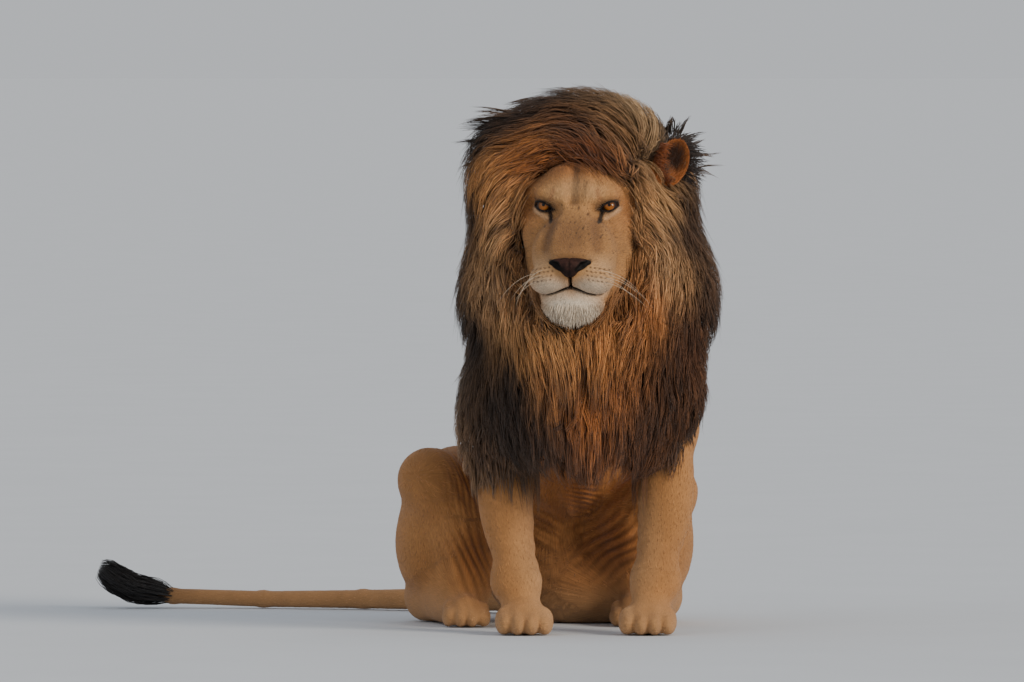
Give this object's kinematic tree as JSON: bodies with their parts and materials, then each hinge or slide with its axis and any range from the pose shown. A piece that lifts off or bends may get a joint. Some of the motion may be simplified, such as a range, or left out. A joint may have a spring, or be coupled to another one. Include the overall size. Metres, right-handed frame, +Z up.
{
  "type": "male lion, sitting",
  "caption": "Life-size still model of a male lion sitting upright, forelegs straight, mane swept to one side, tail laid out on the ground.",
  "frame": {"origin": "on the ground at the middle of the whole animal's box, tail included", "axes": "+Z up, the lion faces -Y, +X is its left side; the tail lies out towards -X and +Y"},
  "size_m": [1.3432, 1.4336, 1.1239],
  "materials": {
    "coat": "short tawny fur, paler inside the legs",
    "mane": "long hair, tan round the face, rust at the throat, near black on the shoulders",
    "pale_fur": "short cream fur on the chin",
    "tuft": "long black hair",
    "nose": "moist, finely pebbled skin",
    "eye": "amber iris with a round dark pupil, glossy"
  },
  "bodies": {
    "root": {"upper_foreleg_left": "coat", "forearm_left": "coat", "forepaw_left": "coat", "upper_foreleg_right": "coat", "forearm_right": "coat", "forepaw_right": "coat", "thigh_left": "coat", "shank_left": "coat", "hind_foot_left": "coat", "thigh_right": "coat", "shank_right": "coat", "hind_foot_right": "coat", "tail_root": "coat", "tail_middle": "coat", "tail_end": "coat", "tail_tuft": "tuft", "chest": "mane", "belly": "coat", "rump": "coat", "neck": "mane", "eye_left": "eye", "eye_right": "eye", "nose": "nose", "head": "mane", "lower_jaw": "pale_fur", "ear_left": "coat", "ear_right": "coat"}
  },
  "joints": []
}
